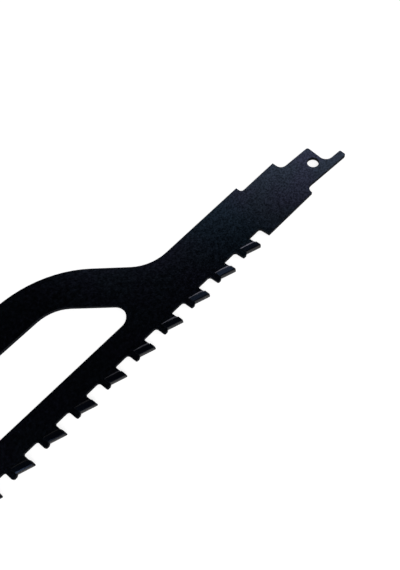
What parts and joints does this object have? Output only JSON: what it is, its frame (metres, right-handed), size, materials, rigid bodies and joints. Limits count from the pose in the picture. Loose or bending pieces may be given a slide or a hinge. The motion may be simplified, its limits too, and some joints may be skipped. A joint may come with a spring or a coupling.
{
  "type": "reciprocating saw blade",
  "caption": "Long steel saw blade with a windowed plate, a canted shank with a clamp hole, and brazed carbide tips on square-gulleted teeth.",
  "frame": {"origin": "axis of the shank's hole, at the plate's underside", "axes": "+X along the line of teeth towards the shank's end, +Y from the teeth to the spine, +Z out of the side that faces up"},
  "size_m": [0.305, 0.0517, 0.0021],
  "materials": {
    "coated_steel": "satin black coating with a fine mottled grain",
    "carbide": "dark ground carbide under the same dark coating"
  },
  "bodies": {
    "root": {"blade_body": "coated_steel", "carbide_tip_01": "carbide", "carbide_tip_02": "carbide", "carbide_tip_03": "carbide", "carbide_tip_04": "carbide", "carbide_tip_05": "carbide", "carbide_tip_06": "carbide", "carbide_tip_07": "carbide", "carbide_tip_08": "carbide", "carbide_tip_09": "carbide", "carbide_tip_10": "carbide", "carbide_tip_11": "carbide", "carbide_tip_12": "carbide", "carbide_tip_13": "carbide", "carbide_tip_14": "carbide", "carbide_tip_15": "carbide", "carbide_tip_16": "carbide", "carbide_tip_17": "carbide", "carbide_tip_18": "carbide", "carbide_tip_19": "carbide", "carbide_tip_20": "carbide"}
  },
  "joints": []
}
